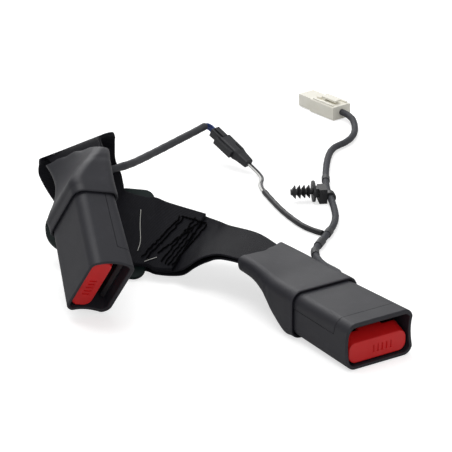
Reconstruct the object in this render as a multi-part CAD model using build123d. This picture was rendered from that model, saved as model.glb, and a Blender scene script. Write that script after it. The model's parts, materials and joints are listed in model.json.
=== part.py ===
from build123d import *
import math
import os

# Twin rear seat belt buckle: two buckle heads in soft boots, joined by webbing at one
# anchor plate, with the wiring of their belt switches. Millimetres, +Z up.
# The assembly lies on a flat surface, z = 0. The origin is under its middle.

# Buckle head. X is its width, +Y runs from the mouth to the webbing, and +Z from the
# button side to the tongue side. The origin is the middle of the mouth's lower edge.
head_width = 46.0
head_height = 28.0
head_length = 62.0
rear_width = 42.6
rear_low = 2.0
rear_drop = 0.7
corner_radius = 6.0
side_wall = 2.0
floor_wall = 1.8
roof_wall = 2.9
scoop_depth = 1.4
scoop_margin = 4.94
lip_round = 0.7

# Split line between the head's housing and its cover.
split_gap = 0.3
split_top_y = 12.0
split_side_y = 13.6
split_drop = 9.5
split_rise = 1.1
shoulder_drop = 2.0

# Steel frame, a channel with its web under the cover.
frame_steel = 2.0
frame_roof_gap = 0.2
frame_side_gap = 0.9
frame_front = 14.0
flange_front = head_length * 12 / 31
flange_beyond = 4.0
tail_half = 21.0
tail_step = 4.5
tail_reach = 16.0
belt_slot_length = 37.0
belt_slot_width = 6.0
belt_bar = 5.0

# Tongue channel, latch, ejector and their pin.
tongue_gap = 3.0
latch_thick = 2.2
latch_side_gap = 2.5
latch_front = 22.0
tooth_half = 5.5
tooth_long = 4.0
tooth_reach = 5.0
pin_setback = 12.0
pin_drop = 1.9
pin_radius = 1.5
pin_run = 0.06
hub_radius = 3.0
latch_open = 10.0
ejector_half = 8.0
ejector_front = 27.5
ejector_long = 6.0
ejector_travel = 9.0
rib_half = 2.6
seat_gap = 0.3
spring_window_half = 3.2
spring_stop_beyond = 4.6

# Button and what moves with it.
button_side_gap = 0.6
button_recess = 2.2
button_floor_gap = 0.3
button_slope = 4.2
button_depth = 10.0
button_travel = 6.0
button_corner = 5.0
arm_side_gap = 0.8
arm_width = 2.6
arm_bevel = 0.9
arm_low = 5.0
arm_high = 9.5
arm_setback = 18.0
slider_y = head_length * 14 / 31
slider_long = 4.0
grip_bars = 5
grip_pitch = 3.0
grip_width = 1.3
grip_height = 4.4
grip_depth = 0.5
grip_x = 3.0
grip_z = 6.4

# Springs, each drawn as the tube that its coils fill.
ejector_spring_r = 2.2
button_spring_r = 1.8
latch_spring_r = 2.0
spring_wire = 0.6

# Boots over the rear of each head.
boot_grip = 9.4
boot_wall = 1.3
boot_gap = 0.3

# Webbing and anchor plate.
belt_thick = 1.2
belt_gap = 0.1
plate_thick = 3.0
plate_bar = 6.0
plate_slot_length = 50.0
plate_slot_width = 8.0
plate_half = 31.0
plate_corner = 7.0
anchor_reach = 36.0
anchor_radius = 17.0
anchor_hole = 6.0

# Wiring.
trunk_diameter = 4.4
branch_diameter = 3.6
left_diameter = 4.8
wire_diameter = 1.4
tape_thick = 0.4
wire_pitch = 1.7

# Where the pieces lie on the surface, measured from the bench mark that the drawing used.
bench_x = -3.87
bench_y = -125.48
right_rear = (50.8828, -152.9042, 0.0)
right_turn = 34.5
left_rear = (-97.5501, -103.4655, 57.5026)
left_turn = 14.5
left_pitch = 31.4
left_roll = 105.8

right_place = Pos(*right_rear) * Rot(0, 0, right_turn) * Pos(0, -head_length, 0)
left_tilt = Rot(0, 0, left_turn) * Rot(left_pitch, 0, 0) * Rot(0, left_roll, 0)
left_place = Pos(*left_rear) * left_tilt * Pos(0, -head_length, 0)
bench = Pos(-bench_x, -bench_y, 0)


# Half the clear width inside the head, at y.
def inner_at(y):
    return (head_width + (rear_width - head_width) * y / head_length) / 2 - side_wall


# Sizes that follow from the ones above.
rear_high = head_height - rear_drop
scoop_half = head_height / 2 - scoop_margin
scoop_radius = (scoop_half**2 + scoop_depth**2) / (2 * scoop_depth)
split_low = head_height - split_drop
split_shoulder = head_height - shoulder_drop
frame_web_top = rear_high - roof_wall - frame_roof_gap
web_low = frame_web_top - frame_steel
channel_low = web_low - tongue_gap
latch_top = channel_low - 0.6
latch_low = latch_top - latch_thick
pin_y = head_length - pin_setback
pin_z = latch_low - pin_drop
flange_back = pin_y + flange_beyond
flange_low = arm_high + seat_gap
spring_stop_y = pin_y + spring_stop_beyond
tail_front = head_length + tail_step
tail_back = head_length + tail_reach
tail_middle = frame_web_top - frame_steel / 2
belt_bar_front = tail_back - belt_bar
button_stop_y = button_recess + button_depth + button_travel
button_low = floor_wall + rear_low * button_stop_y / head_length + button_floor_gap
button_top = channel_low - 0.2
button_face_top = button_top - button_slope
inner_half = inner_at(0)
button_half = inner_at(button_stop_y) - button_side_gap
arm_back = head_length - arm_setback
arm_outer = inner_at(arm_back) - arm_side_gap
arm_inner = arm_outer - arm_width
frame_half = arm_inner - frame_side_gap
latch_half = frame_half - frame_steel - latch_side_gap
boot_front = head_length - boot_grip


def span(x0, x1, y0, y1, z0, z1):
    return Pos((x0 + x1) / 2, (y0 + y1) / 2, (z0 + z1) / 2) * Box(x1 - x0, y1 - y0, z1 - z0)


def both_sides(part):
    return part + mirror(part, about=Plane.YZ)


def rod(radius, x0, x1, y, z):
    return Pos((x0 + x1) / 2, y, z) * Rot(0, 90, 0) * Cylinder(radius, x1 - x0)


def tube_y(outer, inner, x, z, y0, y1):
    ring = Cylinder(outer, y1 - y0) - Cylinder(inner, y1 - y0)
    return Pos(x, (y0 + y1) / 2, z) * Rot(90, 0, 0) * ring


# Head shells

def head_edges(y):
    share = y / head_length
    width = head_width + (rear_width - head_width) * share
    low = rear_low * share
    high = head_height + (rear_high - head_height) * share
    return width, low, high


def head_section(y, side, floor, roof, radius):
    width, low, high = head_edges(y)
    low += floor
    high -= roof
    plane = Plane(origin=(0, y, (low + high) / 2), x_dir=(1, 0, 0), z_dir=(0, -1, 0))
    return (plane * RectangleRounded(width - 2 * side, high - low, radius)).face()


def head_cavity():
    inner_radius = corner_radius - side_wall
    ends = [-1.0, head_length + 1.0]
    return loft([head_section(y, side_wall, floor_wall, roof_wall, inner_radius) for y in ends])


def head_shell():
    outer = loft([head_section(y, 0, 0, 0, corner_radius) for y in (0, head_length)])
    shell = outer - head_cavity()
    middle = head_height / 2
    scoop = rod(scoop_radius, -head_width, head_width, scoop_depth - scoop_radius, middle)
    shell = shell - scoop
    rims = shell.edges().filter_by_position(Axis.Y, -0.1, scoop_depth + 0.1)
    return fillet(rims, lip_round)


# The cover's zone in side view: down behind the hood, then back along the side.
def cover_zone(gap):
    back = head_length + 2
    above = head_height + 2
    low_front = split_low - gap
    low_back = split_low + split_rise - gap
    top_y = split_top_y - gap
    side_y = split_side_y - gap
    mid = ((top_y + side_y) / 2 - 0.35, (split_shoulder + low_front) / 2)
    with BuildSketch(Plane.YZ) as zone:
        with BuildLine():
            Line((top_y, above), (top_y, split_shoulder))
            ThreePointArc((top_y, split_shoulder), mid, (side_y, low_front))
            Line((side_y, low_front), (back, low_back))
            Line((back, low_back), (back, above))
            Line((back, above), (top_y, above))
        make_face()
    return extrude(zone.sketch, head_width, both=True)


def make_housing(shell):
    housing = shell - cover_zone(split_gap)
    deep = floor_wall + 0.4
    guide_front = button_stop_y + 0.6
    guide = both_sides(span(arm_inner + 0.4, arm_outer - 0.4, guide_front, arm_back + 2, deep, arm_low - 0.2))
    stop_half = head_edges(arm_back)[0] / 2 - side_wall * 0.7
    stop_y = arm_back + button_travel * 2
    stop = both_sides(span(arm_inner - 0.8, stop_half, stop_y, stop_y + 2, deep + 2.0, arm_high + 0.5))
    post_y = (flange_front + 0.2, arm_back - 2.4)
    flange_in = frame_half - frame_steel
    for y in post_y:
        post = span(flange_in, frame_half, y, y + 2, deep, flange_low - 0.2)
        housing = housing + both_sides(post)
    spring_y = latch_front + tooth_long - 1.5
    spring_post = Pos(0, spring_y, (deep + 6.0) / 2) * Cylinder(latch_spring_r - spring_wire - 0.2, 6.0 - deep)
    spring_pad = Pos(0, spring_y, (deep + 4.0) / 2) * Cylinder(latch_spring_r + 0.8, 4.0 - deep)
    wall = span(-head_width / 2, head_width / 2, head_length - 3, head_length - 1, 1, split_low - 2) & head_cavity()
    notch = span(5, 14, head_length - 4, head_length, 0, 9) & head_cavity()
    housing = housing + guide + stop + spring_post + spring_pad + (wall - notch)
    return housing


def make_cover(shell):
    cover = shell & cover_zone(0)
    for y in (25, head_length - 18):
        half = head_edges(y)[0] / 2 - side_wall
        hook = span(half - 1.5, half + 0.8, y, y + 6, split_low + 0.6, split_low + 3.5)
        tab = span(half - 1.5, half - 0.3, y, y + 6, split_low - 4, split_low + 0.8)
        cover = cover + both_sides(hook + tab)
    return cover


def make_tongue_guide():
    low = web_low + 0.2
    high = head_height - roof_wall - seat_gap
    half = inner_half - 3.2
    bar = span(-half, half, 7.5, frame_front - 0.3, low, high)
    lead = bar.edges().filter_by(Axis.X).sort_by(Axis.Z)[:2].sort_by(Axis.Y)[0]
    bar = chamfer(lead, (high - low) * 0.7)
    return bar


# Steel frame

def make_frame():
    with BuildSketch(Plane.XY.offset(web_low)) as web:
        with BuildLine():
            right = [(frame_half, frame_front), (frame_half, head_length + 0.4), (tail_half, tail_front)]
            right += [(tail_half, tail_back - 2), (tail_half - 2, tail_back)]
            left = [(-x, y) for x, y in reversed(right)]
            Polyline(*right, *left, close=True)
        make_face()
        tooth_mid = latch_front + tooth_long / 2 - 0.6
        with Locations((0, tooth_mid)):
            Rectangle(2 * tooth_half + 2, tooth_long + 4, mode=Mode.SUBTRACT)
        window_front = ejector_front + 1.5
        with Locations((0, (window_front + spring_stop_y) / 2)):
            Rectangle(2 * spring_window_half, spring_stop_y - window_front, mode=Mode.SUBTRACT)
        with Locations((0, belt_bar_front - belt_slot_width / 2)):
            RectangleRounded(belt_slot_length, belt_slot_width, 1.0, mode=Mode.SUBTRACT)
    frame = extrude(web.sketch, frame_steel)
    flange = span(frame_half - frame_steel, frame_half, flange_front, flange_back, flange_low, web_low + 0.5)
    toe = flange.edges().filter_by(Axis.X).sort_by(Axis.Z)[:2]
    flange = chamfer(toe, 3.0)
    frame = frame + both_sides(flange)
    stop = span(-spring_window_half + 0.2, spring_window_half - 0.2, spring_stop_y, spring_stop_y + 1.6, 18, web_low + 1)
    frame = frame + stop
    return frame - rod(pin_radius + 0.02, -frame_half - 1, frame_half + 1, pin_y, pin_z)


def make_pin():
    half = frame_half + 0.4
    return rod(pin_radius, -half, half, pin_y, pin_z)


# Latch, drawn engaged and then swung down to its open rest.
def make_latch():
    plate = span(-latch_half, latch_half, latch_front, pin_y - 4, latch_low, latch_top)
    window_half = spring_window_half + 0.2
    window = span(-window_half, window_half, ejector_front + 2, pin_y - 6, latch_low - 1, latch_top + 1)
    tooth = span(-tooth_half, tooth_half, latch_front, latch_front + tooth_long, latch_top - 0.5, latch_top + tooth_reach)
    ramp = tooth.edges().filter_by(Axis.X).sort_by(Axis.Z)[-2:].sort_by(Axis.Y)[0]
    tooth = chamfer(ramp, 2.4)
    ear_in = latch_half - 2.5
    hub = rod(hub_radius, ear_in, latch_half, pin_y, pin_z)
    link = span(ear_in, latch_half, pin_y - 4.5, pin_y, pin_z, latch_top)
    latch = plate - window + tooth + both_sides(hub + link)
    latch = latch - rod(pin_radius + pin_run, -latch_half - 1, latch_half + 1, pin_y, pin_z)
    return Pos(0, pin_y, pin_z) * Rot(latch_open, 0, 0) * Pos(0, -pin_y, -pin_z) * latch


def make_latch_spring():
    y = latch_front + tooth_long - 1.5
    reach = pin_y - y
    swing = math.radians(latch_open)
    drop = reach * math.sin(swing) + (pin_z - latch_low) * (math.cos(swing) - 1)
    top = latch_low - drop - latch_spring_r * math.sin(swing) - 0.3
    ring = Cylinder(latch_spring_r, top - 4.0) - Cylinder(latch_spring_r - spring_wire, top - 4.0)
    return Pos(0, y, (top + 4.0) / 2) * ring


def make_ejector():
    low = channel_low + seat_gap
    high = web_low - seat_gap
    back = ejector_front + ejector_long
    block = span(-ejector_half, ejector_half, ejector_front, back, low, high)
    rib = span(-rib_half, rib_half, ejector_front + 2, back, high - 0.5, web_low + frame_steel * 0.8)
    peg = Pos(0, back + 1.9, (low + high) / 2) * Rot(90, 0, 0) * Cylinder(1.2, 4.2)
    return block + rib + peg


def make_ejector_spring():
    front = ejector_front + ejector_long + 0.1
    height = (channel_low + web_low) / 2
    inner = ejector_spring_r - spring_wire
    return tube_y(ejector_spring_r, inner, 0, height, front, spring_stop_y - 0.1)


# Button with its two arms, a sloped top that leads the tongue in, and grip bars.
def button_section(y, top):
    plane = Plane(origin=(0, y, (button_low + top) / 2), x_dir=(1, 0, 0), z_dir=(0, -1, 0))
    return (plane * RectangleRounded(2 * button_half, top - button_low, button_corner)).face()


def make_button():
    front = button_recess
    back = button_recess + button_depth
    slope = [(front, button_face_top), (back - 1.2, button_top), (back, button_top)]
    block = loft([button_section(y, top) for y, top in slope], ruled=True)
    face_edges = block.edges().filter_by_position(Axis.Y, front - 0.01, front + 0.01)
    block = fillet(face_edges, 0.8)
    block = block - both_sides(span(8, button_half + 1, back - 2.6, back + 1, button_top - 1.7, button_top + 1))
    for i in range(grip_bars):
        x = grip_x + (i - (grip_bars - 1) / 2) * grip_pitch
        half = grip_width / 2
        block = block - span(x - half, x + half, front - 1, front + grip_depth, grip_z, grip_z + grip_height)
    arm = span(arm_inner, arm_outer, back - 0.5, arm_back, arm_low, arm_high)
    low_edge = arm.edges().filter_by(Axis.Y).sort_by(Axis.Z)[:2].sort_by(Axis.X)[-1]
    arm = chamfer(low_edge, arm_bevel)
    return block + both_sides(arm)


def make_button_springs():
    x = inner_at(arm_back + 2 * button_travel) - button_spring_r - 0.35
    z = (arm_low + arm_high) / 2
    inner = button_spring_r - spring_wire
    ring = tube_y(button_spring_r, inner, x, z, arm_back + 0.1, arm_back + 2 * button_travel - 0.1)
    return both_sides(ring)


def make_lock_slider():
    return span(-arm_inner + 0.05, arm_inner - 0.05, slider_y, slider_y + slider_long, arm_low + 0.2, arm_high - 0.8)


def make_switch():
    front = pin_y - 2.5
    body = span(-10, 10, front, head_length - 4.8, 4.2, 9.8)
    key = span(-2, 2, front - 1.2, front + 0.1, 6, 8)
    return body + key


def head_parts():
    shell = head_shell()
    return {
        "housing": make_housing(shell),
        "cover": make_cover(shell),
        "tongue_guide": make_tongue_guide(),
        "frame": make_frame(),
        "latch_pin": make_pin(),
        "latch": make_latch(),
        "latch_spring": make_latch_spring(),
        "ejector": make_ejector(),
        "ejector_spring": make_ejector_spring(),
        "button": make_button(),
        "button_springs": make_button_springs(),
        "lock_slider": make_lock_slider(),
        "belt_switch": make_switch(),
    }


# Boot: a sleeve from the head's box section to the flat webbing.
# Each station is (x, y, z, width, height, turn, roll), with y from the head's rear end.
def boot_face(station, inset, radius):
    x, y, z, width, height, turn, roll = station
    plane = Plane(origin=(0, 0, 0), x_dir=(1, 0, 0), z_dir=(0, -1, 0))
    outline = plane * RectangleRounded(width - 2 * inset, height - 2 * inset, radius - inset)
    return (Pos(x, y, z) * Rot(0, 0, turn) * Rot(0, roll, 0) * outline).face()


def behind_head(stations):
    return [(x, y + head_length, *rest) for x, y, *rest in stations]


def make_boot(stations):
    width, low, high = head_edges(boot_front)
    reach = 2 * (boot_wall + boot_gap)
    middle = (low + high) / 2
    grip = [(0, y, middle, width + reach, high - low + reach, 0, 0) for y in (boot_front, head_length + 1)]
    solids = []
    for inset in (0, boot_wall):
        faces = []
        for station in grip + behind_head(stations):
            faces.append(boot_face(station, inset, min(corner_radius + reach / 2, station[4] * 0.42)))
        solids.append(loft(faces[:2]) + loft(faces[1:]))
    return solids[0] - solids[1], solids[0]


right_boot_stations = [
    (0.2, 14, 18.0, 46.4, 21.5, 2, 1),
    (0.8, 27, 21.5, 45.0, 15.0, 10, 3),
    (1.8, 40, 23.4, 44.0, 11.4, 20, 5),
    (2.5, 52, 24.2, 43.0, 10.0, 28, 6),
]
left_boot_stations = [
    (0.4, 14, 18.5, 46.4, 21.0, 2, 4),
    (2.2, 26, 21.5, 45.0, 15.0, 6, 12),
    (5.0, 37, 23.0, 44.0, 11.4, 10, 20),
    (8.0, 47, 23.4, 43.0, 10.0, 13, 27),
]


# Webbing: each station is (near edge, far edge, direction of the face), on the mid surface.
def ribbon(stations, thick):
    faces = []
    for near, far, up in stations:
        across = (far - near).normalized()
        face_up = (up - across * up.dot(across)).normalized() * (thick / 2)
        corners = [near - face_up, far - face_up, far + face_up, near + face_up]
        faces.append(make_face(Polyline(*corners, close=True).edges()).face())
    return loft(faces, ruled=True)


def shifted(stations, offset):
    moved = []
    for near, far, up in stations:
        across = (far - near).normalized()
        face_up = (up - across * up.dot(across)).normalized() * offset
        moved.append((near + face_up, far + face_up, up))
    return moved


# Half a turn round a bar: the centre line of the bar's edge, the way out of the bar and up.
def wrap(near, far, out, up, offset, steps):
    stations = []
    for i in range(steps + 1):
        angle = math.pi * i / steps
        way = up * math.cos(angle) + out * math.sin(angle)
        stations.append((near + way * offset, far + way * offset, way))
    return stations


layer_step = belt_thick + belt_gap
frame_loop = frame_steel / 2 + seat_gap + belt_thick / 2
plate_loop = plate_thick / 2 + seat_gap + belt_thick / 2


# The two layers between a head's belt bar and its boot's mouth. Each station gives the
# middle, the half width, the turn and roll, and half the space between the layers.
def head_layers(place, half_bar, stations):
    def at(x, y, z):
        return (place * Pos(x, y, z)).position

    up = at(0, 0, 1) - at(0, 0, 0)
    forward = at(0, -1, 0) - at(0, 0, 0)
    near = at(-half_bar, belt_bar_front, tail_middle)
    far = at(half_bar, belt_bar_front, tail_middle)
    turn = wrap(near, far, forward, up, frame_loop, 6)
    top = []
    low = []
    rows = [(0, tail_back + 1, tail_middle, half_bar, 0, 0, frame_loop)] + behind_head(stations)
    for x, y, z, half, turn_z, roll, space in rows:
        spot = place * Pos(x, y, z) * Rot(0, 0, turn_z) * Rot(0, roll, 0)
        near = (spot * Pos(-half, 0, 0)).position
        far = (spot * Pos(half, 0, 0)).position
        lift = (spot * Pos(0, 0, 1)).position - spot.position
        top.append((near + lift * space, far + lift * space, lift))
        low.append((near - lift * space, far - lift * space, lift))
    return turn, top, low


# Anchor plate, placed by the edge of its bar that the webbing turns round.
bar_near = Vector(-54.0, -80.1, 5.7)
bar_far = Vector(-49.0, -42.2, 32.9)
bar_along = (bar_far - bar_near).normalized()
to_bolt = (Vector(-1, 0, 0) - bar_along * (-bar_along.X)).normalized()
plate_up = to_bolt.cross(bar_along).normalized()
plate_up = plate_up if plate_up.Z > 0 else plate_up * -1
slot_middle = (bar_near + bar_far) * 0.5 + to_bolt * (plate_slot_width / 2)


def make_anchor_plate():
    outer_edge = plate_slot_width / 2 + plate_bar
    with BuildSketch() as face:
        with BuildLine():
            outline = [(-plate_half, outer_edge), (plate_half, outer_edge), (plate_half, -9)]
            outline += [(anchor_radius, -anchor_reach), (-anchor_radius, -anchor_reach), (-plate_half, -9)]
            Polyline(*outline, close=True)
        make_face()
        with Locations((0, -anchor_reach)):
            Circle(anchor_radius)
        fillet(face.vertices().filter_by(lambda v: v.Y > outer_edge - 1), plate_corner)
        fillet(face.vertices().filter_by(lambda v: -10 < v.Y < -8), plate_corner)
        RectangleRounded(plate_slot_length, plate_slot_width, 1.5, mode=Mode.SUBTRACT)
        with Locations((0, -anchor_reach)):
            Circle(anchor_hole, mode=Mode.SUBTRACT)
    plate = extrude(face.sketch, plate_thick / 2, both=True)
    plane = Plane(origin=slot_middle, x_dir=to_bolt.cross(plate_up) * -1, z_dir=plate_up)
    return plane.location * plate


# Webbing runs outside the boots, as (near edge, far edge, face direction). The second
# layer of the right run hangs below the first by the two sags, at its near and far edge.
def at_bar(out, lift, half=23.5):
    middle = (bar_near + bar_far) * 0.5 - to_bolt * out + plate_up * lift
    return (middle - bar_along * half, middle + bar_along * half, plate_up)


right_run = [
    (Vector(-2.3, -110.9, 26.6), Vector(19.1, -69.2, 23.0), Vector(0.1, 0, 1)),
    (Vector(-11.1, -101.8, 21.9), Vector(2.4, -56.8, 23.0), Vector(0.1, 0, 1)),
    (Vector(-17.6, -99.8, 18.1), Vector(-3.6, -55.5, 25.0), Vector(0.1, -0.2, 1)),
    (Vector(-24.8, -95.9, 11.4), Vector(-10.3, -54.0, 27.0), Vector(0, -0.4, 1)),
    (Vector(-33.2, -86.8, 5.7), Vector(-21.7, -47.7, 29.0), Vector(0, -0.5, 1)),
    (Vector(-42.1, -85.9, 6.2), Vector(-33.7, -46.0, 31.5), Vector(0, -0.6, 1)),
]
right_sags = [(2.4, 1.4), (3.6, 1.5), (4.4, 1.6), (4.4, 1.8), (3.6, 2.2), (3.4, 3.2)]
left_run = [
    (Vector(-66.0, -79.5, 10.6), Vector(-60.0, -41.4, 38.6), Vector(0, -0.6, 1)),
    (Vector(-85.0, -67.4, 20.6), Vector(-62.0, -37.4, 41.8), Vector(0.2, -0.7, 0.8)),
    (Vector(-103.0, -45.0, 34.0), Vector(-63.5, -36.0, 49.0), Vector(0.3, -1, 0.3)),
    (Vector(-112.0, -36.5, 47.0), Vector(-66.7, -36.0, 57.5), Vector(0.1, -1, -0.1)),
    (Vector(-112.2, -38.6, 55.0), Vector(-66.9, -38.0, 69.5), Vector(0.2, -0.9, -0.5)),
    (Vector(-110.8, -44.5, 60.6), Vector(-67.3, -45.5, 77.6), Vector(0.35, -0.1, -0.9)),
]
right_boot_belt = [
    (0.8, 27, 22.6, 18.2, 10, 3, 1.7),
    (1.8, 40, 23.5, 18.8, 20, 5, 1.2),
    (2.5, 53, 24.3, 19.4, 28, 6, 0.8),
]
left_boot_belt = [
    (2.2, 26, 22.6, -18.2, 6, 12, 1.7),
    (5.0, 37, 23.0, -18.8, 10, 20, 1.2),
    (8.0, 48, 23.4, -19.4, 13, 27, 0.8),
]


def lowered(stations, sags):
    moved = []
    for (near, far, up), (near_sag, far_sag) in zip(stations, sags):
        across = (far - near).normalized()
        face_up = (up - across * up.dot(across)).normalized()
        moved.append((near - face_up * near_sag, far - face_up * far_sag, up))
    return moved


def turned(station):
    near, far, up = station
    return (near, far, up * -1)


def make_right_webbing():
    turn, top, low = head_layers(right_place, 17.6, right_boot_belt)
    bar_turn = wrap(*at_bar(0, 0)[:2], to_bolt, plate_up, plate_loop, 6)
    over = [at_bar(plate_bar + 1, plate_loop)]
    under = [at_bar(plate_bar + 1, -plate_loop)]
    top_run = list(reversed(turn)) + top + right_run + over + bar_turn
    low_run = [turned(turn[-1])] + low + lowered(right_run, right_sags) + under + [turned(bar_turn[-1])]
    return ribbon(top_run, belt_thick), ribbon(low_run, belt_thick)


def make_left_webbing():
    turn, top, low = head_layers(left_place, -17.6, left_boot_belt)
    lap = right_run[-2:] + [at_bar(plate_bar + 1, plate_loop), at_bar(0, plate_loop)]
    inner_run = shifted(lap, layer_step) + shifted(left_run, -layer_step / 2)
    outer_run = shifted(lap, 2 * layer_step) + shifted(left_run, layer_step / 2)
    top_run = outer_run + list(reversed(top)) + turn
    low_run = inner_run + list(reversed(low)) + [turned(turn[-1])]
    return ribbon(top_run, belt_thick), ribbon(low_run, belt_thick)


# Wiring: straight runs and tangent arcs through the points of each route.
def cord_path(name, route):
    radii = []
    for before, here, after in zip(route, route[1:], route[2:]):
        run_in = Vector(*here) - Vector(*before)
        run_out = Vector(*after) - Vector(*here)
        turn = math.radians(run_in.get_angle(run_out))
        radii.append(0.45 * min(run_in.length, run_out.length) / math.tan(turn / 2))
    path = FilletPolyline(*route, radius=radii)
    print(name, "radii", [round(r, 1) for r in radii], "length", round(path.length, 1))
    return path


def cord(path, diameter):
    start = Plane(origin=path @ 0, z_dir=path % 0)
    tube = sweep(start * Circle(diameter / 2), path=path)
    share = tube.volume / (math.pi * diameter**2 / 4 * path.length)
    print("volume share", round(share, 4))
    return tube


main_back = Vector(78.0, 193.6, 4.8)
main_heading = 129.0
main_way = Vector(math.cos(math.radians(main_heading)), math.sin(math.radians(main_heading)), 0)
trunk_z = trunk_diameter / 2 + tape_thick + 0.02
branch_z = branch_diameter / 2
trunk_route = [
    (57.1, -117.6, 16.4), (66.5, -103.0, 11.0), (66.0, -85.0, 5.0), (57.0, -67.5, trunk_z),
    (52.5, -48.0, trunk_z), (60.0, -26.0, trunk_z), (68.5, 1.0, trunk_z), (67.5, 29.0, trunk_z),
    (63.5, 57.0, trunk_z), (64.0, 84.0, trunk_z), (66.0, 112.0, trunk_z), (70.0, 131.0, trunk_z),
    (79.0, 140.5, trunk_z), (84.5, 153.0, trunk_z), (86.5, 169.0, trunk_z),
    tuple(main_back - main_way * 10.5), tuple(main_back),
]
branch_route = [
    (59.2, -16.2, branch_z), (50.5, -10.0, branch_z), (40.5, 8.0, branch_z), (31.5, 30.0, branch_z),
    (24.5, 53.0, branch_z),
]
left_route = [
    (-77.8, -66.2, 60.3), (-68.5, -51.0, 57.0), (-58.0, -28.0, 51.5), (-51.0, -2.0, 45.5),
    (-40.0, 32.0, 39.0), (-28.5, 66.0, 33.0), (-19.5, 92.5, 28.2), (-14.1, 110.7, 24.8),
]
inline_far = Vector(-7.7, 112.4, 21.0)
inline_near = Vector(14.9, 90.7, 6.4)
inline_way = (inline_near - inline_far).normalized()
branch_way = (Vector(*branch_route[-1]) - Vector(*branch_route[-2])).normalized()
lead_route = [
    inline_near, inline_near + inline_way * 8.0, Vector(23.6, 76.5, 1.9),
    Vector(*branch_route[-1]) + branch_way * 12.0, Vector(*branch_route[-1]),
]


# A lead beside the middle line of the pair; each end leaves its face squarely.
def lead_points(side):
    start_side = inline_way.cross(Vector(0, 0, 1)).normalized() * side
    end_side = Vector(0, 0, 1).cross(branch_way).normalized() * side
    shifts = [start_side, start_side, (start_side + end_side) * 0.5, end_side, end_side]
    return [tuple(point + shift) for point, shift in zip(lead_route, shifts)]


# The inline connector: x across, y from its far end to its near end, z up.
def inline_plane():
    along = (inline_near - inline_far).normalized()
    side = along.cross(Vector(0, 0, 1)).normalized()
    return Plane(origin=inline_far, x_dir=side, z_dir=side.cross(along))


def make_inline_connector():
    place = inline_plane().location
    length = (inline_near - inline_far).length
    plug = span(-3.6, 3.6, 0, 9.3, -2.9, 2.9)
    plug = fillet(plug.edges().filter_by(Axis.Y), 0.8)
    plug = plug + span(-1.8, 1.8, 0.8, 9.3, 2.7, 3.9)
    sections = [(9.5, 9.4, 7.4), (23.5, 9.0, 7.2), (26.5, 7.8, 6.2), (length, 6.6, 5.2)]
    faces = [Plane(origin=(0, y, 0), x_dir=(1, 0, 0), z_dir=(0, -1, 0)) * RectangleRounded(w, h, 1.6) for y, w, h in sections]
    body = loft([face.face() for face in faces], ruled=True)
    rim = body.edges().filter_by_position(Axis.Y, length - 0.01, length + 0.01)
    body = fillet(rim, 1.1)
    arm = span(4.2, 6.6, 14.0, 22.5, -2.4, 2.4) + span(4.9, 6.6, 7.0, 14.1, -2.4, 2.4)
    mark = span(-1.9, -1.1, 18.0, 24.0, 2.9, 5.0)
    return place * plug, place * (body + arm - mark)


# Three wires side by side, bent over from the left cord's end into the plug.
def make_left_leads():
    start = Vector(*left_route[-1])
    way = (start - Vector(*left_route[-2])).normalized()
    across = way.cross(inline_way).normalized()
    wires = []
    for i in (-1, 0, 1):
        shift = across * (i * (wire_diameter + 0.05))
        route = [start + way * 0.02, start + way * 4.0, inline_far - inline_way * 4.0, inline_far - inline_way * 0.02]
        path = cord_path("left wire", [tuple(point + shift) for point in route])
        wires.append(cord(path, wire_diameter))
    return wires


# The main connector: x across, y away from its cable, z up.
def make_main_connector():
    place = Pos(*main_back) * Rot(0, 0, main_heading - 90)
    body = span(-7.6, 7.6, 0, 24.0, -4.7, 4.6)
    body = fillet(body.edges().filter_by(Axis.Y), 0.8)
    nose = span(-6.4, 6.4, 23.9, 37.0, -4.2, 4.2)
    socket = span(-5.2, 5.2, 26.0, 38.0, -3.0, 3.0)
    rail = both_sides(span(5.2, 6.8, 2.0, 22.0, 4.5, 5.6))
    rib = span(-3.2, 3.2, 18.6, 22.0, 4.5, 5.8)
    arm = span(-2.6, 2.6, 4.0, 17.6, 6.0, 7.2) + span(-2.6, 2.6, 14.6, 17.6, 4.6, 6.1)
    pins = [span(x - 0.4, x + 0.4, 26.0, 30.2, -0.4, 0.4) for x in (-3.2, 0.0, 3.2)]
    return place * (body + nose - socket + rail + rib), place * arm, place * Compound(children=pins)


# Fir-tree clip: a saddle beside the trunk, a flange, and a finned stem to push in a panel.
def make_clip():
    a = Vector(*trunk_route[7])
    b = Vector(*trunk_route[8])
    middle = a + (b - a) * 0.5
    heading = math.degrees(math.atan2(b.Y - a.Y, b.X - a.X))
    place = Pos(middle.X, middle.Y, 0) * Rot(0, 0, heading)
    hold = trunk_diameter / 2 + 0.3
    body = span(-5.5, 5.5, hold, hold + 5.0, 0.1, 9.5) + span(-3.0, 3.0, hold + 4.9, hold + 8.0, 3.6, 9.4)
    body = body + Pos(0, hold + 8.0, 6.9) * Rot(90, 0, 0) * Cylinder(6.8, 1.4)
    body = body + Pos(0, hold + 15.5, 6.9) * Rot(90, 0, 0) * Cylinder(2.0, 14.0)
    for i in range(4):
        body = body + Pos(0, hold + 11.6 + 3.0 * i, 6.9) * Rot(-90, 0, 0) * Cone(4.4, 2.4, 1.8)
    ring = Cylinder(hold + 1.2, 4.6) - Cylinder(hold, 4.6)
    keep = span(-3, 3, -9, 0.01, 0.02, 9) + span(-3, 3, 0, hold, trunk_z, 9)
    tie = (Pos(0, 0, trunk_z) * Rot(0, 90, 0) * ring) & keep
    return place * body, place * tie


# Tape turns on the trunk, between two shares of its length.
def make_tape(path):
    sleeves = []
    inner = trunk_diameter / 2 + 0.02
    for start, end in tape_shares:
        piece = path.trim(start, end)
        plane = Plane(origin=piece @ 0, z_dir=piece % 0)
        ring = plane * (Circle(inner + tape_thick) - Circle(inner))
        sleeves.append(sweep(ring, path=piece))
    return Compound(children=sleeves)


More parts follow.
